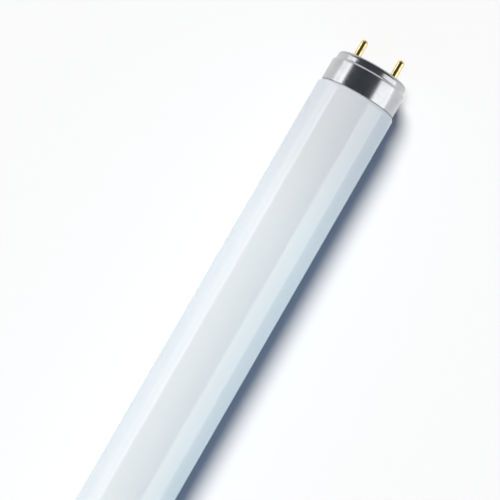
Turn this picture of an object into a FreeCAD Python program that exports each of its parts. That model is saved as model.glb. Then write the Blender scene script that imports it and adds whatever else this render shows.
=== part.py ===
import FreeCAD, Part
import math
import os

import Sketcher

# Straight fluorescent lamp with a two-pin cap at each end.
# The tube lies along X, +Z is up, the origin is at the middle of the lamp, and the pins stand side by side in Y.
# All sizes are in millimetres.

DIMENSIONS = [
    # Whole lamp, measured between the end faces of its caps
    ("lamp_length", 589.8),
    ("tube_diameter", 26.0),
    # Glass, drawn in to a neck under each cap and closed by a stem
    ("glass_wall", 0.6),
    ("neck_length", 5.2),
    ("rim_gap", 0.15),
    ("flare_rim", 1.0),
    ("flare_depth", 5.0),
    ("flare_wall", 1.0),
    ("stem_bore", 7.2),
    ("stem_wall", 1.0),
    ("stem_depth", 20.0),
    ("press_length", 4.0),
    ("exhaust_diameter", 3.8),
    ("exhaust_bore", 1.8),
    ("exhaust_reach", 2.0),
    ("exhaust_tip_length", 1.2),
    ("exhaust_tip_flat", 1.4),
    ("exhaust_tip_wall", 0.8),
    # Aluminium cap, drawn from thin sheet
    ("cap_setback", 0.65),
    ("cap_height", 10.1),
    ("cap_wall", 0.35),
    ("cap_step", 0.7),
    ("band_height", 2.5),
    ("shoulder_length", 0.7),
    ("band_edge_radius", 1.2),
    # Basing cement between the neck and the cap
    ("cement_thickness", 0.45),
    ("cement_rim_inset", 0.6),
    ("cement_end_inset", 0.6),
    # Insulating plate behind the end face, with a raised land that fills the window in the metal
    ("plate_thickness", 1.2),
    ("window_width", 6.2),
    ("window_clearance", 0.1),
    ("land_recess", 0.1),
    # Hollow pins, held on the plate between the shoulder of a thinner shank and an inner rivet head
    ("pin_spacing", 12.7),
    ("pin_diameter", 2.35),
    ("pin_length", 6.6),
    ("pin_shank_diameter", 2.0),
    ("pin_tip_length", 0.7),
    ("pin_tip_flat", 1.3),
    ("pin_bore", 1.5),
    ("pin_end_wall", 0.8),
    ("rivet_diameter", 4.0),
    ("rivet_thickness", 0.4),
    # Lead wires from the stem press into the pins
    ("wire_diameter", 0.6),
    ("wire_bend_depth", 4.0),
    ("wire_bend_stop", 0.8),
]

os.makedirs("parts", exist_ok=True)
doc = FreeCAD.newDocument("fluorescent_tube")
sheet = doc.addObject("Spreadsheet::Sheet", "dims")
for row, (alias, size) in enumerate(DIMENSIONS, start=1):
    sheet.set(f"A{row}", alias)
    sheet.set(f"B{row}", str(size))
    sheet.setAlias(f"B{row}", alias)
doc.recompute()


def number(expression):
    return float(sheet.evalExpression(expression))


def new_body(label):
    body = doc.addObject("PartDesign::Body", label)
    body.Label = label
    return body


def new_sketch(body, plane, name, height="0"):
    sketch = body.newObject("Sketcher::SketchObject", name)
    for feature in body.Origin.OriginFeatures:
        if feature.Role == plane:
            sketch.AttachmentSupport = (feature, [""])
    sketch.MapMode = "FlatFace"
    sketch.AttachmentOffset = FreeCAD.Placement(
        FreeCAD.Vector(0, 0, number(height)), FreeCAD.Rotation()
    )
    if height != "0":
        sketch.setExpression("AttachmentOffset.Base.z", height)
    return sketch


def bind(sketch, kind, geometry, expression):
    index = sketch.addConstraint(Sketcher.Constraint(kind, *geometry, number(expression)))
    sketch.setExpression(f"Constraints[{index}]", expression)


def place_point(sketch, curve, end, x, y):
    if x == "0":
        sketch.addConstraint(Sketcher.Constraint("PointOnObject", curve, end, -2))
    else:
        bind(sketch, "DistanceX", (-1, 1, curve, end), x)
    if y == "0":
        sketch.addConstraint(Sketcher.Constraint("PointOnObject", curve, end, -1))
    else:
        bind(sketch, "DistanceY", (-1, 1, curve, end), y)


def add_circle(sketch, x, y, radius):
    centre = FreeCAD.Vector(number(x), number(y), 0)
    circle = Part.Circle(centre, FreeCAD.Vector(0, 0, 1), number(radius))
    curve = sketch.addGeometry(circle)
    bind(sketch, "Radius", (curve,), radius)
    place_point(sketch, curve, 3, x, y)


def add_arc(sketch, start, finish, centre):
    """Adds the short arc about a centre and returns its curve and which ends are its start and finish."""
    radius = math.dist(start, centre)
    first = math.atan2(start[1] - centre[1], start[0] - centre[0])
    last = math.atan2(finish[1] - centre[1], finish[0] - centre[0])
    ends = (1, 2)
    if (last - first) % (2 * math.pi) > math.pi:
        first, last = last, first
        ends = (2, 1)
    if last < first:
        last += 2 * math.pi
    circle = Part.Circle(FreeCAD.Vector(*centre, 0), FreeCAD.Vector(0, 0, 1), radius)
    curve = sketch.addGeometry(Part.ArcOfCircle(circle, first, last))
    return curve, ends


def draw_outline(sketch, corners):
    """Draws a closed outline. Each corner is (x, y) and starts a straight edge, or (x, y, centre x, centre y,
    radius) and starts an arc."""
    spots = [(number(corner[0]), number(corner[1])) for corner in corners]
    edges = []
    for index, corner in enumerate(corners):
        start = spots[index]
        finish = spots[(index + 1) % len(corners)]
        if len(corner) == 2:
            line = Part.LineSegment(FreeCAD.Vector(*start, 0), FreeCAD.Vector(*finish, 0))
            edges.append((sketch.addGeometry(line), (1, 2)))
        else:
            centre = (number(corner[2]), number(corner[3]))
            edges.append(add_arc(sketch, start, finish, centre))
    for index, (curve, ends) in enumerate(edges):
        last_curve, last_ends = edges[index - 1]
        sketch.addConstraint(
            Sketcher.Constraint("Coincident", last_curve, last_ends[1], curve, ends[0])
        )
    for corner, (curve, ends) in zip(corners, edges):
        place_point(sketch, curve, ends[0], corner[0], corner[1])
        if len(corner) > 2:
            bind(sketch, "Radius", (curve,), corner[4])


def draw_path(sketch, corners):
    """Draws an open path of straight lines through the corners."""
    spots = [FreeCAD.Vector(number(x), number(y), 0) for x, y in corners]
    lines = []
    for start, finish in zip(spots, spots[1:]):
        lines.append(sketch.addGeometry(Part.LineSegment(start, finish)))
    for last, line in zip(lines, lines[1:]):
        sketch.addConstraint(Sketcher.Constraint("Coincident", last, 2, line, 1))
    for line, (x, y) in zip(lines, corners):
        place_point(sketch, line, 1, x, y)
    place_point(sketch, lines[-1], 2, *corners[-1])


def round_in_flats(x, y, radius, flats):
    """Corners of a quarter round about (x, y), from straight above it to straight out, drawn as flats."""
    corners = []
    for step in range(flats + 1):
        angle = 90 * step / flats
        out = f"sin({angle} deg)" if step else "0"
        up = f"cos({angle} deg)" if step < flats else "0"
        corners.append((f"{x} + {radius} * {out}", f"{y} + {radius} * {up}"))
    return corners


def turn(body, kind, name, sketch):
    feature = body.newObject(kind, name)
    feature.Profile = sketch
    feature.ReferenceAxis = (sketch, ["H_Axis"])
    feature.Angle = 360
    return feature


def draw_slot(sketch, half_spacing, radius):
    """Draws a round-ended slot whose end arcs are centred on the two pins."""
    reach = number(half_spacing)
    size = number(radius)
    up = FreeCAD.Vector(0, 0, 1)
    right_circle = Part.Circle(FreeCAD.Vector(reach, 0, 0), up, size)
    left_circle = Part.Circle(FreeCAD.Vector(-reach, 0, 0), up, size)
    right = sketch.addGeometry(Part.ArcOfCircle(right_circle, -math.pi / 2, math.pi / 2))
    left = sketch.addGeometry(Part.ArcOfCircle(left_circle, math.pi / 2, 3 * math.pi / 2))
    top = sketch.addGeometry(
        Part.LineSegment(FreeCAD.Vector(reach, size, 0), FreeCAD.Vector(-reach, size, 0))
    )
    bottom = sketch.addGeometry(
        Part.LineSegment(FreeCAD.Vector(-reach, -size, 0), FreeCAD.Vector(reach, -size, 0))
    )
    sketch.addConstraint(Sketcher.Constraint("Tangent", right, 2, top, 1))
    sketch.addConstraint(Sketcher.Constraint("Tangent", top, 2, left, 1))
    sketch.addConstraint(Sketcher.Constraint("Tangent", left, 2, bottom, 1))
    sketch.addConstraint(Sketcher.Constraint("Tangent", bottom, 2, right, 1))
    sketch.addConstraint(Sketcher.Constraint("Equal", right, left))
    bind(sketch, "Radius", (right,), radius)
    place_point(sketch, right, 3, half_spacing, "0")
    place_point(sketch, left, 3, f"-({half_spacing})", "0")


def put_at_end(body, side, sideways="0"):
    """Moves a body drawn about the middle of a cap's end face, with +X outward, to the left or right end."""
    turned = FreeCAD.Rotation(FreeCAD.Vector(0, 0, 1), 180 if side == "left" else 0)
    body.Placement = FreeCAD.Placement(FreeCAD.Vector(0, 0, 0), turned)
    sign = "-" if side == "left" else ""
    body.setExpression("Placement.Base.x", f"{sign}dims.lamp_length / 2")
    if sideways != "0":
        body.setExpression("Placement.Base.y", sideways)


# Radii shared by the pieces that fit together
TUBE = "dims.tube_diameter / 2"
SKIRT = f"({TUBE} - dims.cap_setback)"
SKIRT_INSIDE = f"({SKIRT} - dims.cap_wall)"
NECK = f"({SKIRT_INSIDE} - dims.cement_thickness)"
BAND = f"({SKIRT} - dims.cap_step)"
END_FLAT = f"({BAND} - dims.band_edge_radius)"
PIN = "dims.pin_diameter / 2"
PIN_SHANK = "dims.pin_shank_diameter / 2"
PIN_SIDE = "dims.pin_spacing / 2"

# Heights in a cap, measured outward from its end face
NECK_END = "(dims.neck_length - dims.cap_height)"
PRESS_FACE = f"({NECK_END} - dims.stem_depth)"
PLATE_TOP = "(-dims.cap_wall)"
PLATE_BACK = "(-dims.cap_wall - dims.plate_thickness)"
RIVET_BACK = f"({PLATE_BACK} - dims.rivet_thickness)"


def make_glass_tube():
    body = new_body("glass_tube")
    end = "dims.lamp_length / 2"
    neck_end = f"({end} + {NECK_END})"
    shoulder = f"({end} - dims.cap_height - dims.rim_gap)"
    round_size = f"({TUBE} - {NECK})"
    round_start = f"({shoulder} - {round_size})"
    stem = "dims.stem_bore / 2"
    exhaust = "dims.exhaust_diameter / 2"
    press = f"({end} + {PRESS_FACE})"
    tip = f"({neck_end} + dims.exhaust_reach)"

    # One half of the outside: tube, rounded shoulder, neck, flare, stem bore and exhaust tip
    outside = new_sketch(body, "XY_Plane", "glass_outside")
    draw_outline(
        outside,
        [
            ("0", "0"),
            ("0", TUBE),
            (round_start, TUBE, round_start, NECK, round_size),
            (shoulder, NECK),
            (neck_end, NECK),
            (neck_end, f"{NECK} - dims.flare_rim"),
            (f"{neck_end} - dims.flare_depth", stem),
            (press, stem),
            (press, exhaust),
            (f"{tip} - dims.exhaust_tip_length", exhaust),
            (tip, "dims.exhaust_tip_flat / 2"),
            (tip, "0"),
        ],
    )
    solid_half = turn(body, "PartDesign::Revolution", "solid_half", outside)

    # The sealed space inside it, which reaches through the press into the exhaust tip
    inside = new_sketch(body, "XY_Plane", "glass_inside")
    void_end = f"({neck_end} - dims.flare_wall)"
    stem_outside = f"({stem} + dims.stem_wall)"
    press_back = f"({press} - dims.press_length)"
    draw_outline(
        inside,
        [
            ("0", "0"),
            ("0", f"{TUBE} - dims.glass_wall"),
            (round_start, f"{TUBE} - dims.glass_wall"),
            (shoulder, f"{NECK} - dims.glass_wall"),
            (void_end, f"{NECK} - dims.glass_wall"),
            (f"{void_end} - dims.flare_depth", stem_outside),
            (press_back, stem_outside),
            (press_back, "dims.exhaust_bore / 2"),
            (f"{tip} - dims.exhaust_tip_wall", "dims.exhaust_bore / 2"),
            (f"{tip} - dims.exhaust_tip_wall", "0"),
        ],
    )
    sealed_half = turn(body, "PartDesign::Groove", "sealed_half", inside)

    both_halves = body.newObject("PartDesign::Mirrored", "both_halves")
    both_halves.Originals = [solid_half, sealed_half]
    both_halves.MirrorPlane = (outside, ["V_Axis"])
    body.Tip = both_halves
    return body


def make_cap(side):
    body = new_body(f"{side}_cap")
    skirt_top = "(-dims.band_height - dims.shoulder_length)"

    # Section of the drawn sheet, up the outside, over the rounded edge and back down the inside
    section = new_sketch(body, "XY_Plane", "cap_section")
    draw_outline(
        section,
        [
            ("-dims.cap_height", SKIRT),
            (skirt_top, SKIRT),
            ("-dims.band_height", BAND),
            *round_in_flats("-dims.band_edge_radius", END_FLAT, "dims.band_edge_radius", 3),
            ("0", "0"),
            (PLATE_TOP, "0"),
            (PLATE_TOP, END_FLAT),
            ("-dims.band_edge_radius", f"{BAND} - dims.cap_wall"),
            ("-dims.band_height - dims.cap_wall", f"{BAND} - dims.cap_wall"),
            (f"{skirt_top} - dims.cap_wall", SKIRT_INSIDE),
            ("-dims.cap_height", SKIRT_INSIDE),
        ],
    )
    turn(body, "PartDesign::Revolution", "drawn_cup", section)

    opening = new_sketch(body, "YZ_Plane", "window_outline")
    draw_slot(opening, PIN_SIDE, "dims.window_width / 2")
    window = body.newObject("PartDesign::Pocket", "window")
    window.Profile = opening
    window.SideType = "Symmetric"
    window.Length = number("4 * dims.cap_wall")
    window.setExpression("Length", "4 * dims.cap_wall")
    put_at_end(body, side)
    return body


def make_pin_plate(side):
    body = new_body(f"{side}_pin_plate")
    disc_outline = new_sketch(body, "YZ_Plane", "disc_outline", PLATE_BACK)
    add_circle(disc_outline, "0", "0", END_FLAT)
    add_circle(disc_outline, PIN_SIDE, "0", PIN_SHANK)
    add_circle(disc_outline, f"-{PIN_SIDE}", "0", PIN_SHANK)
    disc = body.newObject("PartDesign::Pad", "disc")
    disc.Profile = disc_outline
    disc.Length = number("dims.plate_thickness")
    disc.setExpression("Length", "dims.plate_thickness")

    land_outline = new_sketch(body, "YZ_Plane", "land_outline", PLATE_TOP)
    draw_slot(land_outline, PIN_SIDE, "dims.window_width / 2 - dims.window_clearance")
    add_circle(land_outline, PIN_SIDE, "0", PIN_SHANK)
    add_circle(land_outline, f"-{PIN_SIDE}", "0", PIN_SHANK)
    land = body.newObject("PartDesign::Pad", "land")
    land.Profile = land_outline
    land.Length = number("dims.cap_wall - dims.land_recess")
    land.setExpression("Length", "dims.cap_wall - dims.land_recess")
    put_at_end(body, side)
    return body


def make_cement(side):
    body = new_body(f"{side}_cement")
    rim_side = "-dims.cap_height + dims.cement_rim_inset"
    end_side = f"{NECK_END} - dims.cement_end_inset"
    section = new_sketch(body, "XY_Plane", "cement_section")
    draw_outline(
        section,
        [
            (rim_side, NECK),
            (rim_side, SKIRT_INSIDE),
            (end_side, SKIRT_INSIDE),
            (end_side, NECK),
        ],
    )
    turn(body, "PartDesign::Revolution", "cement_ring", section)
    put_at_end(body, side)
    return body


def make_pin(side, place):
    body = new_body(f"{side}_{place}_pin")
    bore = "dims.pin_bore / 2"
    rivet = "dims.rivet_diameter / 2"
    pin_shoulder = "-dims.land_recess"
    tip_flat = "dims.pin_tip_flat / 2"
    bore_end = "(dims.pin_length - dims.pin_end_wall)"
    section = new_sketch(body, "XY_Plane", "pin_section")
    draw_outline(
        section,
        [
            (RIVET_BACK, bore),
            (RIVET_BACK, rivet),
            (PLATE_BACK, rivet),
            (PLATE_BACK, PIN_SHANK),
            (pin_shoulder, PIN_SHANK),
            (pin_shoulder, PIN),
            ("dims.pin_length - dims.pin_tip_length", PIN),
            ("dims.pin_length", tip_flat),
            ("dims.pin_length", "0"),
            (bore_end, "0"),
            (bore_end, bore),
        ],
    )
    turn(body, "PartDesign::Revolution", "turned_pin", section)
    put_at_end(body, side, PIN_SIDE if place == "rear" else f"-{PIN_SIDE}")
    return body


def make_lead(side, place):
    body = new_body(f"{side}_{place}_lead")
    # On the rear side of the right end the wire runs from the press to the pin in +Y
    forward = (place == "rear") == (side == "right")
    sign = "" if forward else "-"
    stem_side = f"{sign}(dims.stem_bore + dims.exhaust_diameter) / 4"
    pin_side = f"{sign}{PIN_SIDE}"
    bend_start = f"{NECK_END} - dims.wire_bend_depth"
    bend_stop = f"{RIVET_BACK} - dims.wire_bend_stop"
    wire_end = "dims.pin_length - dims.pin_end_wall"

    # Straight out of the stem, slanting across to the pin and straight into its bore
    route = new_sketch(body, "XY_Plane", "wire_route")
    corners = [
        (PRESS_FACE, stem_side),
        (bend_start, stem_side),
        (bend_stop, pin_side),
        (wire_end, pin_side),
    ]
    draw_path(route, corners)

    wire_round = new_sketch(body, "YZ_Plane", "wire_round", PRESS_FACE)
    add_circle(wire_round, stem_side, "0", "dims.wire_diameter / 2")
    wire = body.newObject("PartDesign::AdditivePipe", "wire")
    wire.Profile = wire_round
    wire.Spine = (route, ["Edge1", "Edge2", "Edge3"])
    wire.Transition = "Right corner"
    put_at_end(body, side)
    return body


bodies = [make_glass_tube()]
for end_side in ("left", "right"):
    bodies.append(make_cap(end_side))
    bodies.append(make_pin_plate(end_side))
    bodies.append(make_cement(end_side))
    for pin_place in ("front", "rear"):
        bodies.append(make_pin(end_side, pin_place))
        bodies.append(make_lead(end_side, pin_place))

doc.recompute()

for thing in doc.Objects:
    if "Invalid" in thing.State or "Error" in thing.State:
        raise RuntimeError(f"{thing.Label} did not recompute: {thing.State}")

for body in bodies:
    shape = body.Shape
    if shape.isNull() or not shape.isValid() or len(shape.Solids) != 1:
        raise RuntimeError(f"{body.Label} is not one valid solid")

for body in bodies:
    body.Shape.exportStep(f"parts/{body.Label}.step")
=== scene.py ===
import math
from types import SimpleNamespace

import bmesh
import bpy
from mathutils import Matrix, Vector


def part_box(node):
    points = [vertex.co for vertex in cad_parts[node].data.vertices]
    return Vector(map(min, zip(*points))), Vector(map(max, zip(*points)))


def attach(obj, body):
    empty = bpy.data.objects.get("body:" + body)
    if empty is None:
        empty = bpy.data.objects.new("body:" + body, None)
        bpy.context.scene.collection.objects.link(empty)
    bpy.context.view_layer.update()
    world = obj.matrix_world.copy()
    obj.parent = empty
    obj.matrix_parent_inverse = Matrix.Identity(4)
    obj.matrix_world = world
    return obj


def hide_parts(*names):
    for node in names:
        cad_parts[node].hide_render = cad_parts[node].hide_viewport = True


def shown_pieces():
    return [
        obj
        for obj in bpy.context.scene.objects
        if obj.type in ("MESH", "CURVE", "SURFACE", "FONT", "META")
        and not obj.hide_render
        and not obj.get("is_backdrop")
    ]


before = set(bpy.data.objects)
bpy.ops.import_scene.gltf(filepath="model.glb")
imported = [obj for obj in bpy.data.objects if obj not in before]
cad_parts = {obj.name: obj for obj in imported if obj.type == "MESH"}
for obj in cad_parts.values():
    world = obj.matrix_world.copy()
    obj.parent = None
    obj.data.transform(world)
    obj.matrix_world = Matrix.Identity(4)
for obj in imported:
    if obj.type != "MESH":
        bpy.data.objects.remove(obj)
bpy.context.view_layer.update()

MM = 0.001

# Sizes read from the frame, in metres
_, glass_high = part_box("glass_tube")
cap_low, cap_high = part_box("right_cap")
plate_low, plate_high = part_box("right_pin_plate")
pin_low, pin_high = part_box("right_rear_pin")
TUBE_RADIUS = glass_high.y
EXHAUST_TIP = glass_high.x
SKIRT_RADIUS = cap_high.y
RIM = cap_low.x
END_FACE = cap_high.x
PLATE_BACK = plate_low.x
LAND_FACE = plate_high.x
PIN_SIDE = (pin_low.y + pin_high.y) / 2
PIN_TIP = pin_high.x
RIVET_RADIUS = pin_high.z
RIVET_BACK = pin_low.x
FLOOR_HEIGHT = -TUBE_RADIUS

# Drawn aluminium cap
CAP_WALL = 0.35 * MM
BAND_RADIUS = SKIRT_RADIUS - 0.7 * MM
BAND_FOOT = END_FACE - 2.5 * MM
SKIRT_TOP = BAND_FOOT - 0.7 * MM
BAND_EDGE_ROUND = 1.2 * MM
SHOULDER_ROUND = 0.3 * MM
RIM_ROUND = 0.12 * MM
VISIBLE_RIM = RIM - 0.18 * MM
END_RING_RADIUS = 9.9 * MM
WINDOW_RADIUS = 3.1 * MM
WINDOW_EDGE_ROUND = 0.1 * MM
WINDOW_EDGE_STEPS = 3
SKIRT_INSIDE = SKIRT_RADIUS - CAP_WALL
BAND_INSIDE = BAND_RADIUS - CAP_WALL

# Glass, drawn in to a neck under the cap and turned back inside as a stem
CEMENT_THICKNESS = 0.45 * MM
NECK_RADIUS = SKIRT_INSIDE - CEMENT_THICKNESS
NECK_END = RIM + 5.2 * MM
GLASS_SHOULDER = RIM - 0.15 * MM
GLASS_SHOULDER_ROUND = TUBE_RADIUS - NECK_RADIUS
FLARE_RIM = 1.0 * MM
FLARE_RIM_ROUND = 0.4 * FLARE_RIM
FLARE_THROAT_ROUND = 2 * FLARE_RIM
FLARE_END = NECK_END - 5.0 * MM
STEM_RADIUS = 3.6 * MM
PRESS_FACE = NECK_END - 20.0 * MM
EXHAUST_RADIUS = 1.9 * MM
EXHAUST_TIP_LENGTH = 1.2 * MM
EXHAUST_TIP_FLAT = 0.7 * MM
EXHAUST_TIP_ROUND = 0.5 * EXHAUST_TIP_FLAT
THIN_COAT_LENGTH = 55 * MM

# Hollow brass pin, riveted through the plate
PIN_RADIUS = 1.175 * MM
PIN_SHANK_RADIUS = 1.0 * MM
PIN_BORE_RADIUS = 0.75 * MM
PIN_BORE_END = PIN_TIP - 0.8 * MM
PIN_TIP_START = PIN_TIP - 0.7 * MM
PIN_TIP_FLAT = 0.65 * MM
PIN_TIP_ROUND = 0.45 * MM
PIN_NOSE_ROUND = 0.5 * PIN_TIP_ROUND
PIN_FOOT_ROUND = 0.1 * MM
SOLDER_RADIUS = 0.4 * MM
SOLDER_DEPTH = 0.12 * MM

# Fineness of the turned shapes
GLASS_STEPS = 256
CAP_STEPS = 192
PIN_STEPS = 64
ROUND_STEPS = 8
CREASE_ANGLE = math.radians(35)
MERGE_DISTANCE = 0.0005 * MM


# Shaping

def turn_outline(bm, outline, steps):
    """Turns an outline of (x, radius, rounding of that corner) about the X axis."""
    corners = [bm.verts.new((x, 0, radius)) for x, radius, _ in outline]
    for pair in zip(corners, corners[1:]):
        bm.edges.new(pair)
    places = [corner.co.copy() for corner in corners]
    for index, (_, _, rounding) in enumerate(outline):
        if rounding:
            arriving = places[index] - places[index - 1]
            leaving = places[index + 1] - places[index]
            bmesh.ops.bevel(
                bm,
                geom=[corners[index]],
                offset=rounding * math.tan(arriving.angle(leaving) / 2),
                affect="VERTICES",
                segments=ROUND_STEPS,
                profile=0.5,
                material=-1,
            )
    bmesh.ops.spin(
        bm,
        geom=bm.verts[:] + bm.edges[:],
        cent=(0, 0, 0),
        axis=(1, 0, 0),
        dvec=(0, 0, 0),
        angle=math.tau,
        steps=steps,
        use_merge=True,
    )


def slot_loop(bm, x, radius, steps):
    """A round-ended loop about both pins: a circle pulled apart at its middle."""
    facing_out = Matrix.Translation((x, 0, 0)) @ Matrix.Rotation(math.pi / 2, 4, "Y")
    loop = bmesh.ops.create_circle(bm, segments=steps, radius=radius, matrix=facing_out)["verts"]
    for side in (-1, 1):
        half = [vert for vert in loop if side * vert.co.y > MERGE_DISTANCE]
        bmesh.ops.translate(bm, verts=half, vec=(0, side * PIN_SIDE, 0))
    return loop


def edges_among(bm, verts):
    """The edges whose two ends are both among the given points."""
    chosen = set(verts)
    return [edge for edge in bm.edges if chosen.issuperset(edge.verts)]


def ring_at(bm, x, radius):
    """The points of a turned outline that lie at one place and radius."""
    return [
        vert
        for vert in bm.verts
        if abs(vert.co.x - x) < MERGE_DISTANCE
        and abs(math.hypot(vert.co.y, vert.co.z) - radius) < MERGE_DISTANCE
    ]


def face_left(bm):
    """Turns a piece made for the right end round to the left end."""
    bmesh.ops.rotate(bm, verts=bm.verts, cent=(0, 0, 0), matrix=Matrix.Rotation(math.pi, 3, "Z"))


def make_piece(bm, name, material, node):
    """Closes a shape, gives it its finish and puts it in the place of its plain solid."""
    bmesh.ops.remove_doubles(bm, verts=bm.verts, dist=MERGE_DISTANCE)
    bmesh.ops.recalc_face_normals(bm, faces=bm.faces)
    for face in bm.faces:
        face.smooth = True
    mesh = bpy.data.meshes.new(name)
    bm.to_mesh(mesh)
    bm.free()
    mesh.set_sharp_from_angle(angle=CREASE_ANGLE)
    mesh.materials.append(material)
    piece = bpy.data.objects.new(name, mesh)
    bpy.context.scene.collection.objects.link(piece)
    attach(piece, "root")
    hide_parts(node)
    return piece


# Finishes

def add_node(tree, kind, inputs=None, **settings):
    """Adds a node, sets it up, and sets or links its inputs."""
    made = tree.nodes.new(kind)
    for name, setting in settings.items():
        setattr(made, name, setting)
    for name, given in (inputs or {}).items():
        if isinstance(given, bpy.types.NodeSocket):
            tree.links.new(given, made.inputs[name])
        else:
            made.inputs[name].default_value = given
    return made


def new_finish(name):
    """A material with its node tree, its shader and the point on the piece."""
    material = bpy.data.materials.new(name)
    material.use_nodes = True
    tree = material.node_tree
    shader = tree.nodes["Principled BSDF"]
    place = add_node(tree, "ShaderNodeTexCoord").outputs["Object"]
    return material, tree, shader, place


def stretched(tree, place, scale):
    """The point on the piece, stretched by a scale for each direction."""
    return add_node(tree, "ShaderNodeMapping", {"Vector": place, "Scale": scale}).outputs["Vector"]


def from_middle(tree, place):
    """How far along the tube a point is from the middle of the lamp."""
    along = add_node(tree, "ShaderNodeSeparateXYZ", {"Vector": place}).outputs["X"]
    return math_node(tree, "ABSOLUTE", along)


def noise(tree, place, scale, detail, roughness=0.5):
    """Cloudy amounts about one half, finer with a larger scale."""
    inputs = {"Vector": place, "Scale": scale, "Detail": detail, "Roughness": roughness}
    return add_node(tree, "ShaderNodeTexNoise", inputs).outputs["Fac"]


def between(tree, amount, low, high, to_low=0.0, to_high=1.0, smooth=True):
    """Turns amounts from low to high into amounts from to_low to to_high."""
    inputs = {"Value": amount, "From Min": low, "From Max": high, "To Min": to_low, "To Max": to_high}
    kind = "SMOOTHSTEP" if smooth else "LINEAR"
    return add_node(tree, "ShaderNodeMapRange", inputs, interpolation_type=kind).outputs["Result"]


def mix_colour(tree, amount, first, second):
    """The first colour where the amount is 0, the second where it is 1."""
    made = add_node(tree, "ShaderNodeMix", data_type="RGBA")
    for socket, given in (("Factor_Float", amount), ("A_Color", first), ("B_Color", second)):
        target = next(item for item in made.inputs if item.identifier == socket)
        if isinstance(given, bpy.types.NodeSocket):
            tree.links.new(given, target)
        else:
            target.default_value = given
    return next(item for item in made.outputs if item.identifier == "Result_Color")


def math_node(tree, operation, first, second=0.0):
    """One sum on two amounts."""
    made = add_node(tree, "ShaderNodeMath", operation=operation)
    for socket, given in zip(made.inputs, (first, second)):
        if isinstance(given, bpy.types.NodeSocket):
            tree.links.new(given, socket)
        else:
            socket.default_value = given
    return made.outputs[0]


def bump(tree, shader, height, strength, distance):
    """Gives a finish its relief."""
    inputs = {"Height": height, "Strength": strength, "Distance": distance}
    made = add_node(tree, "ShaderNodeBump", inputs)
    tree.links.new(made.outputs["Normal"], shader.inputs["Normal"])


def link(tree, output, shader, socket):
    """Feeds one of the shader's inputs."""
    tree.links.new(output, shader.inputs[socket])


def white_glass():
    """White phosphor behind clear glass: matt white, a little greyer by the caps, under a hard gloss."""
    material, tree, shader, place = new_finish("white_glass")
    full_coat = (0.85, 0.885, 0.885, 1)
    thin_coat = (0.735, 0.735, 0.745, 1)
    streak_colour = (0.70, 0.76, 0.80, 1)
    grain_colour = (0.95, 0.96, 0.96, 1)
    near_cap = between(tree, from_middle(tree, place), GLASS_SHOULDER - THIN_COAT_LENGTH, GLASS_SHOULDER)
    coat = mix_colour(tree, near_cap, full_coat, thin_coat)
    streaks = noise(tree, stretched(tree, place, (0.12, 1, 1)), scale=160, detail=4)
    coat = mix_colour(tree, between(tree, streaks, 0.3, 0.7, 0.0, 0.06), coat, streak_colour)
    grain = noise(tree, place, scale=2600, detail=2)
    coat = mix_colour(tree, between(tree, grain, 0.35, 0.75, 0.0, 0.05), coat, grain_colour)
    link(tree, coat, shader, "Base Color")
    smears = noise(tree, stretched(tree, place, (0.4, 1, 1)), scale=45, detail=5, roughness=0.6)
    link(tree, between(tree, smears, 0.4, 0.75, 0.05, 0.11), shader, "Roughness")
    waves = noise(tree, stretched(tree, place, (0.05, 1, 1)), scale=90, detail=2)
    bump(tree, shader, waves, strength=0.06, distance=0.05 * MM)
    shader.inputs["IOR"].default_value = 1.52
    return material


def drawn_aluminium():
    """Bright drawn sheet: fine lines up the wall, faint rings, small scuffs, and painted shade as a darker
    line along the rounded end edge.
    """
    material, tree, shader, place = new_finish("drawn_aluminium")
    bright = (0.55, 0.555, 0.57, 1)
    dull = (0.475, 0.485, 0.50, 1)
    edge_shade_colour = (0.36, 0.365, 0.375, 1)
    lines = noise(tree, stretched(tree, place, (0.06, 1, 1)), scale=2600, detail=3)
    rings = noise(tree, stretched(tree, place, (1, 0.03, 0.03)), scale=1500, detail=2)
    cloud = noise(tree, place, scale=260, detail=5, roughness=0.6)
    colour = mix_colour(tree, between(tree, cloud, 0.35, 0.7), bright, dull)
    along = from_middle(tree, place)
    # Painted shade: a darker line along the band's rounded end edge, standing in for the shade that edge
    # catches.
    rising = between(tree, along, END_FACE - BAND_EDGE_ROUND, END_FACE - 0.5 * BAND_EDGE_ROUND)
    falling = between(tree, along, END_FACE - 0.3 * BAND_EDGE_ROUND, END_FACE, 1.0, 0.0)
    painted_edge_shade = math_node(tree, "MULTIPLY", rising, falling)
    colour = mix_colour(tree, math_node(tree, "MULTIPLY", painted_edge_shade, 0.75), colour, edge_shade_colour)
    link(tree, colour, shader, "Base Color")
    shader.inputs["Metallic"].default_value = 1.0
    scuffs = noise(tree, stretched(tree, place, (0.5, 1, 1)), scale=900, detail=6, roughness=0.7)
    scuffs = between(tree, scuffs, 0.55, 0.8)
    link(tree, between(tree, scuffs, 0.0, 1.0, 0.22, 0.34, smooth=False), shader, "Roughness")
    height = math_node(tree, "ADD", lines, rings)
    bump(tree, shader, height, strength=0.05, distance=0.02 * MM)
    return material


def pin_brass():
    """Turned brass with rings from the tool, darker tarnish and bright contact scratches along it."""
    material, tree, shader, place = new_finish("pin_brass")
    clean = (0.89, 0.71, 0.36, 1)
    tarnished = (0.55, 0.36, 0.13, 1)
    scratched = (0.95, 0.82, 0.50, 1)
    tarnish = between(tree, noise(tree, place, scale=900, detail=5, roughness=0.65), 0.45, 0.75)
    colour = mix_colour(tree, tarnish, clean, tarnished)
    scratches = noise(tree, stretched(tree, place, (0.04, 1, 1)), scale=6000, detail=2)
    colour = mix_colour(tree, between(tree, scratches, 0.62, 0.72), colour, scratched)
    link(tree, colour, shader, "Base Color")
    shader.inputs["Metallic"].default_value = 1.0
    link(tree, between(tree, tarnish, 0.0, 1.0, 0.16, 0.36, smooth=False), shader, "Roughness")
    tool_rings = noise(tree, stretched(tree, place, (1, 0.05, 0.05)), scale=9000, detail=1)
    bump(tree, shader, tool_rings, strength=0.12, distance=0.01 * MM)
    return material


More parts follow.
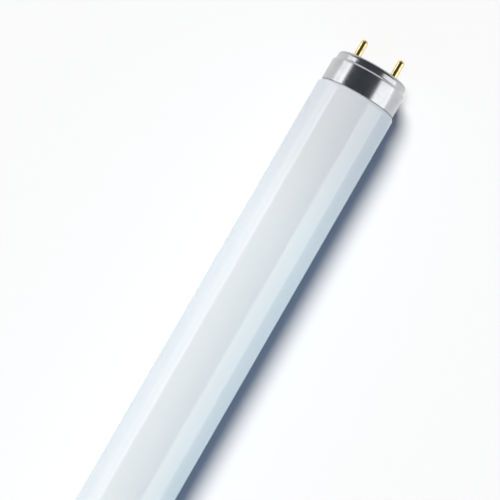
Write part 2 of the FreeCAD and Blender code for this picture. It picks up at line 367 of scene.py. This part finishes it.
def brown_insulator():
    """Pressed brown board: layered fibres and dark flecks, half matt."""
    material, tree, shader, place = new_finish("brown_insulator")
    dark_brown = (0.16, 0.085, 0.04, 1)
    light_brown = (0.30, 0.17, 0.085, 1)
    fleck_colour = (0.07, 0.035, 0.02, 1)
    fibres = noise(tree, stretched(tree, place, (1, 0.7, 1)), scale=3800, detail=6, roughness=0.7)
    colour = mix_colour(tree, between(tree, fibres, 0.3, 0.7), dark_brown, light_brown)
    flecks = noise(tree, place, scale=5200, detail=2)
    colour = mix_colour(tree, between(tree, flecks, 0.62, 0.7), colour, fleck_colour)
    link(tree, colour, shader, "Base Color")
    link(tree, between(tree, fibres, 0.3, 0.7, 0.38, 0.6), shader, "Roughness")
    bump(tree, shader, fibres, strength=0.25, distance=0.02 * MM)
    return material


def basing_cement():
    """Grey-white stony cement with grit and small pores."""
    material, tree, shader, place = new_finish("basing_cement")
    dark_grey = (0.47, 0.43, 0.37, 1)
    light_grey = (0.66, 0.62, 0.55, 1)
    grit = noise(tree, place, scale=1800, detail=6, roughness=0.7)
    colour = mix_colour(tree, between(tree, grit, 0.3, 0.7), dark_grey, light_grey)
    link(tree, colour, shader, "Base Color")
    pores = add_node(tree, "ShaderNodeTexVoronoi", {"Vector": place, "Scale": 1500.0}).outputs["Distance"]
    link(tree, between(tree, grit, 0.3, 0.7, 0.75, 0.95), shader, "Roughness")
    bump(tree, shader, math_node(tree, "ADD", grit, pores), strength=0.5, distance=0.08 * MM)
    return material


def lead_metal():
    """Drawn nickel wire: fine lines along it and a dull heat tint."""
    material, tree, shader, place = new_finish("lead_metal")
    clean = (0.62, 0.60, 0.56, 1)
    heated = (0.46, 0.40, 0.34, 1)
    tint = between(tree, noise(tree, place, scale=500, detail=3), 0.4, 0.7)
    colour = mix_colour(tree, tint, clean, heated)
    link(tree, colour, shader, "Base Color")
    shader.inputs["Metallic"].default_value = 1.0
    lines = noise(tree, stretched(tree, place, (0.05, 1, 1)), scale=9000, detail=2)
    link(tree, between(tree, lines, 0.3, 0.7, 0.25, 0.42), shader, "Roughness")
    bump(tree, shader, lines, strength=0.1, distance=0.01 * MM)
    return material


GLASS = white_glass()
ALUMINIUM = drawn_aluminium()
BRASS = pin_brass()
INSULATOR = brown_insulator()
CEMENT = basing_cement()
LEAD = lead_metal()


# Pieces

def make_glass():
    """The tube with its rounded shoulders, necks, flares, stems and exhaust tips, as one closed skin."""
    right_half = [
        (GLASS_SHOULDER, TUBE_RADIUS, GLASS_SHOULDER_ROUND),
        (GLASS_SHOULDER, NECK_RADIUS, 0),
        (NECK_END, NECK_RADIUS, FLARE_RIM_ROUND),
        (NECK_END, NECK_RADIUS - FLARE_RIM, FLARE_RIM_ROUND),
        (FLARE_END, STEM_RADIUS, FLARE_THROAT_ROUND),
        (PRESS_FACE, STEM_RADIUS, 0),
        (PRESS_FACE, EXHAUST_RADIUS, 0),
        (EXHAUST_TIP - EXHAUST_TIP_LENGTH, EXHAUST_RADIUS, EXHAUST_TIP_FLAT),
        (EXHAUST_TIP, EXHAUST_TIP_FLAT, EXHAUST_TIP_ROUND),
        (EXHAUST_TIP, 0, 0),
    ]
    left_half = [(-x, radius, rounding) for x, radius, rounding in reversed(right_half)]
    bm = bmesh.new()
    turn_outline(bm, left_half + right_half, GLASS_STEPS)
    return make_piece(bm, "white_glass_tube", GLASS, "glass_tube")


def make_cap(side):
    """A drawn cup with a skirt, a shoulder, a narrower band, a rounded edge and a window for the pins."""
    bm = bmesh.new()
    inside_face = END_FACE - CAP_WALL
    turn_outline(
        bm,
        [
            (END_FACE, END_RING_RADIUS, 0),
            (END_FACE, BAND_RADIUS, BAND_EDGE_ROUND),
            (BAND_FOOT, BAND_RADIUS, SHOULDER_ROUND),
            (SKIRT_TOP, SKIRT_RADIUS, SHOULDER_ROUND),
            (VISIBLE_RIM, SKIRT_RADIUS, RIM_ROUND),
            (VISIBLE_RIM, SKIRT_INSIDE, RIM_ROUND),
            (SKIRT_TOP - CAP_WALL, SKIRT_INSIDE, SHOULDER_ROUND),
            (BAND_FOOT - CAP_WALL, BAND_INSIDE, SHOULDER_ROUND),
            (inside_face, BAND_INSIDE, BAND_EDGE_ROUND - CAP_WALL),
            (inside_face, END_RING_RADIUS, 0),
        ],
        CAP_STEPS,
    )
    outer_ring = edges_among(bm, ring_at(bm, END_FACE, END_RING_RADIUS))
    inner_ring = edges_among(bm, ring_at(bm, inside_face, END_RING_RADIUS))
    outer_slot = edges_among(bm, slot_loop(bm, END_FACE, WINDOW_RADIUS, CAP_STEPS))
    inner_slot = edges_among(bm, slot_loop(bm, inside_face, WINDOW_RADIUS, CAP_STEPS))
    bmesh.ops.bridge_loops(bm, edges=outer_ring + outer_slot)
    bmesh.ops.bridge_loops(bm, edges=outer_slot + inner_slot)
    # The last bridge twists unless the faces on both its sides are turned alike.
    bmesh.ops.recalc_face_normals(bm, faces=bm.faces)
    bmesh.ops.bridge_loops(bm, edges=inner_ring + inner_slot)
    bmesh.ops.bevel(
        bm,
        geom=outer_slot,
        offset=WINDOW_EDGE_ROUND,
        affect="EDGES",
        segments=WINDOW_EDGE_STEPS,
        profile=0.5,
        material=-1,
    )
    if side == "left":
        face_left(bm)
    make_piece(bm, f"{side}_drawn_cap", ALUMINIUM, f"{side}_cap")


def make_pin(side, place):
    """A hollow pin with a riveted foot, a ledge on the plate and a rounded tip with a dimple of solder."""
    bm = bmesh.new()
    turn_outline(
        bm,
        [
            (PIN_BORE_END, 0, 0),
            (PIN_BORE_END, PIN_BORE_RADIUS, 0),
            (RIVET_BACK, PIN_BORE_RADIUS, PIN_FOOT_ROUND),
            (RIVET_BACK, RIVET_RADIUS, PIN_FOOT_ROUND),
            (PLATE_BACK, RIVET_RADIUS, PIN_FOOT_ROUND),
            (PLATE_BACK, PIN_SHANK_RADIUS, 0),
            (LAND_FACE, PIN_SHANK_RADIUS, 0),
            (LAND_FACE, PIN_RADIUS, 0),
            (PIN_TIP_START, PIN_RADIUS, PIN_TIP_ROUND),
            (PIN_TIP, PIN_TIP_FLAT, PIN_NOSE_ROUND),
            (PIN_TIP, SOLDER_RADIUS, 0),
            (PIN_TIP - SOLDER_DEPTH, 0, 0),
        ],
        PIN_STEPS,
    )
    if side == "left":
        face_left(bm)
    sideways = PIN_SIDE if place == "rear" else -PIN_SIDE
    bmesh.ops.translate(bm, verts=bm.verts, vec=(0, sideways, 0))
    make_piece(bm, f"{side}_{place}_brass_pin", BRASS, f"{side}_{place}_pin")


def refinish(node, material):
    """Gives a solid that keeps its own shape its finish."""
    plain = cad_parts[node]
    plain.data.materials.clear()
    plain.data.materials.append(material)


glass_tube = make_glass()
for end in ("left", "right"):
    make_cap(end)
    refinish(f"{end}_pin_plate", INSULATOR)
    refinish(f"{end}_cement", CEMENT)
    for row in ("front", "rear"):
        make_pin(end, row)
        refinish(f"{end}_{row}_lead", LEAD)


# Studio: a pale floor, a white surround, soft light from above and both sides, long light boxes to reflect

FLOOR_SIZE = 40.0
BACKGROUND_WHITE = 0.974
HORIZON_FADE_START = 0.02
HORIZON_FADE_END = 0.12
LIGHT_SPREAD = math.radians(50)
LIGHT_FORWARD = math.radians(8)
SKY_LEAN = math.radians(15)
SKY_STRENGTH = 0.625 * math.pi
SKY_COLOUR = (0.985, 1.0, 1.0)
LEFT_FILL_LEAN = math.radians(85)
LEFT_FILL_STRENGTH = 0.49 * math.pi
LEFT_FILL_COLOUR = (0.77, 0.89, 0.98)
RIGHT_FILL_LEAN = math.radians(-75)
RIGHT_FILL_STRENGTH = 0.397 * math.pi
RIGHT_FILL_COLOUR = (0.577, 0.83, 1.0)
FLOOR_LIGHT_SPREAD = math.radians(23)
FLOOR_LIGHT_LEAN = math.radians(17)
FLOOR_LIGHT_FORWARD = math.radians(28)
FLOOR_LIGHT_STRENGTH = 2.125 * math.pi
FLOOR_LIGHT_COLOUR = (1.0, 0.834, 0.622)
FLOOR_COLOUR = (0.48, 0.57, 0.74, 1)
FLOOR_BOUNCE_COLOUR = (0.24, 0.34, 0.52, 1)
SHADE_COLOUR = (0.185, 0.172, 0.17, 1)
CEILING_REFLECTION = (0.07, 0.075, 0.085, 1)

# Light boxes: top and bottom as angles from straight up, and brightness as the glass and the metal show it
LEFT_BOX = SimpleNamespace(
    top=math.radians(56),
    bottom=math.radians(88),
    low_share=0.62,
    on_glass=2.3,
    on_metal=1.85,
)
RIGHT_BOX = SimpleNamespace(
    top=math.radians(-38),
    bottom=math.radians(-89),
    low_share=0.95,
    on_glass=1.95,
    on_metal=1.35,
)
BOX_FAR_END = -1.6
BOX_NEAR_END = 0.62
BOX_DISTANCE = 1.0
BOX_POWER_PER_AREA = 4
BOX_EDGE_FADE_END = 0.06
BOX_GLOW_FADE_START = 0.12
BOX_GLOW_FADE_END = 0.45


def mirrored(tree, path):
    """1 for what gloss and clear glass show."""
    return math_node(tree, "MAXIMUM", path["Is Glossy Ray"], path["Is Transmission Ray"])


def seen(tree, path):
    """1 for what the camera, gloss and clear glass show, 0 for light thrown from surface to surface."""
    return math_node(tree, "MAXIMUM", path["Is Camera Ray"], mirrored(tree, path))


def make_floor():
    """Pale paint that looks the same to the camera and in gloss, and throws back a little less light."""
    bm = bmesh.new()
    bmesh.ops.create_grid(bm, x_segments=1, y_segments=1, size=FLOOR_SIZE / 2)
    bmesh.ops.translate(bm, verts=bm.verts, vec=(0, 0, FLOOR_HEIGHT))
    mesh = bpy.data.meshes.new("floor")
    bm.to_mesh(mesh)
    bm.free()
    material = bpy.data.materials.new("floor_paint")
    material.use_nodes = True
    tree = material.node_tree
    tree.nodes.clear()
    path = add_node(tree, "ShaderNodeLightPath").outputs
    colour = mix_colour(tree, seen(tree, path), FLOOR_BOUNCE_COLOUR, FLOOR_COLOUR)
    matt = add_node(tree, "ShaderNodeBsdfDiffuse", {"Color": colour})
    output = add_node(tree, "ShaderNodeOutputMaterial")
    tree.links.new(matt.outputs["BSDF"], output.inputs["Surface"])
    mesh.materials.append(material)
    floor = bpy.data.objects.new("floor", mesh)
    bpy.context.scene.collection.objects.link(floor)
    floor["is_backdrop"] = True
    return floor


def make_surround():
    """White to the camera, and to gloss a white horizon under a dark ceiling."""
    world = bpy.data.worlds.new("surround")
    world.use_nodes = True
    bpy.context.scene.world = world
    tree = world.node_tree
    tree.nodes.clear()
    path = add_node(tree, "ShaderNodeLightPath").outputs
    direction = add_node(tree, "ShaderNodeTexCoord").outputs["Generated"]
    height = add_node(tree, "ShaderNodeSeparateXYZ", {"Vector": direction}).outputs["Z"]
    white = (BACKGROUND_WHITE, BACKGROUND_WHITE, BACKGROUND_WHITE, 1)
    above = between(tree, height, HORIZON_FADE_START, HORIZON_FADE_END)
    reflected = mix_colour(tree, above, white, CEILING_REFLECTION)
    colour = mix_colour(tree, mirrored(tree, path), SHADE_COLOUR, reflected)
    colour = mix_colour(tree, path["Is Camera Ray"], colour, white)
    back = add_node(tree, "ShaderNodeBackground", {"Color": colour, "Strength": 1.0})
    output = add_node(tree, "ShaderNodeOutputWorld")
    tree.links.new(back.outputs["Background"], output.inputs["Surface"])


def add_light(name, kind, place, aim_from, receivers):
    """A lamp at a place, that shines from the direction aim_from and lights only its receivers."""
    data = bpy.data.lights.new(name, kind)
    lamp = bpy.data.objects.new(name, data)
    lamp.location = place
    lamp.rotation_mode = "QUATERNION"
    lamp.rotation_quaternion = Vector(aim_from).to_track_quat("Z", "Y")
    bpy.context.scene.collection.objects.link(lamp)
    lamp.visible_camera = False
    lit = bpy.data.collections.new(f"{name}_receivers")
    for receiver in receivers:
        lit.objects.link(receiver)
    lamp.light_linking.receiver_collection = lit
    return lamp


def overhead(lean, forward=0.0):
    """A direction that leans from straight up towards +Y, and forward towards +X."""
    return Vector((math.tan(forward), math.tan(lean), 1)).normalized()


def make_sky(name, aim_from, spread, strength, colour, receivers):
    """Broad far-off light that doesn't show in reflections."""
    sky = add_light(name, "SUN", (0, 0, 1), aim_from, receivers)
    sky.data.angle = spread
    sky.data.energy = strength
    sky.data.color = colour
    sky.visible_glossy = False


def make_light_box(name, shape, radiance, receivers):
    """A long light box that only shows in reflections. It is brightest just below its top edge,
    and keeps its low share of that further down."""
    toward = overhead((shape.top + shape.bottom) / 2)
    middle = toward * BOX_DISTANCE + Vector(((BOX_NEAR_END + BOX_FAR_END) / 2, 0, 0))
    box = add_light(name, "AREA", middle, toward, receivers)
    box.data.shape = "RECTANGLE"
    lengthways = Vector((math.copysign(1, toward.y), 0, 0))
    turned = Matrix((lengthways, toward.cross(lengthways), toward)).transposed()
    box.rotation_quaternion = turned.to_quaternion()
    box.data.size = BOX_NEAR_END - BOX_FAR_END
    box.data.size_y = 2 * BOX_DISTANCE * math.tan(abs(shape.bottom - shape.top) / 2)
    box.data.energy = radiance * BOX_POWER_PER_AREA * box.data.size * box.data.size_y
    box.visible_diffuse = False
    box.data.use_nodes = True
    tree = box.data.node_tree
    spot = add_node(tree, "ShaderNodeNewGeometry").outputs["Parametric"]
    from_top = add_node(tree, "ShaderNodeSeparateXYZ", {"Vector": spot}).outputs["Y"]
    edge = between(tree, from_top, 0.0, BOX_EDGE_FADE_END)
    glow = between(tree, from_top, BOX_GLOW_FADE_START, BOX_GLOW_FADE_END, 1.0, shape.low_share)
    tree.links.new(math_node(tree, "MULTIPLY", edge, glow), tree.nodes["Emission"].inputs["Strength"])


floor = make_floor()
make_surround()
lamp_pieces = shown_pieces()
glass_pieces = [glass_tube]
end_pieces = [piece for piece in lamp_pieces if piece != glass_tube]
sky_from = overhead(SKY_LEAN, LIGHT_FORWARD)
left_from = overhead(LEFT_FILL_LEAN, LIGHT_FORWARD)
right_from = overhead(RIGHT_FILL_LEAN, LIGHT_FORWARD)
floor_from = overhead(FLOOR_LIGHT_LEAN, FLOOR_LIGHT_FORWARD)
make_sky("sky", sky_from, LIGHT_SPREAD, SKY_STRENGTH, SKY_COLOUR, lamp_pieces)
make_sky("left_fill", left_from, LIGHT_SPREAD, LEFT_FILL_STRENGTH, LEFT_FILL_COLOUR, lamp_pieces)
make_sky("right_fill", right_from, LIGHT_SPREAD, RIGHT_FILL_STRENGTH, RIGHT_FILL_COLOUR, lamp_pieces)
make_sky("floor_light", floor_from, FLOOR_LIGHT_SPREAD, FLOOR_LIGHT_STRENGTH, FLOOR_LIGHT_COLOUR, [floor])
for side, box_shape in (("left", LEFT_BOX), ("right", RIGHT_BOX)):
    make_light_box(f"{side}_glass_box", box_shape, box_shape.on_glass, glass_pieces)
    make_light_box(f"{side}_metal_box", box_shape, box_shape.on_metal, end_pieces)


# Camera: nearly straight above the right end

CAMERA_DISTANCE = 1.0
CAMERA_TILT = math.radians(5.2)
CAMERA_ROLL = math.radians(4)
CAMERA_TURN = math.radians(59.99)
LOOK_ALONG = 228.43 * MM
LOOK_ASIDE = 5.04 * MM
PIXELS_PER_METRE = 3312.8
IMAGE_PIXELS = 500
SENSOR_WIDTH = 36


def make_camera():
    """Looks down on the right end, turned so that the tube runs up to the right."""
    data = bpy.data.cameras.new("camera")
    camera = bpy.data.objects.new("camera", data)
    bpy.context.scene.collection.objects.link(camera)
    bpy.context.scene.camera = camera
    back = Vector((-math.sin(CAMERA_TILT), 0, math.cos(CAMERA_TILT)))
    back.rotate(Matrix.Rotation(CAMERA_ROLL, 3, "X"))
    along = Vector((1, 0, 0)) - back * back.x
    along.normalize()
    aside = back.cross(along)
    right = math.cos(CAMERA_TURN) * along - math.sin(CAMERA_TURN) * aside
    up = math.sin(CAMERA_TURN) * along + math.cos(CAMERA_TURN) * aside
    target = Vector((LOOK_ALONG, 0, 0)) + aside * LOOK_ASIDE
    camera.location = target + back * CAMERA_DISTANCE
    camera.rotation_mode = "QUATERNION"
    camera.rotation_quaternion = Matrix((right, up, back)).transposed().to_quaternion()
    data.sensor_width = SENSOR_WIDTH
    data.lens = PIXELS_PER_METRE * CAMERA_DISTANCE / IMAGE_PIXELS * SENSOR_WIDTH
    data.clip_start = 0.01
    data.clip_end = 100


make_camera()
bpy.context.scene.view_settings.view_transform = "Standard"
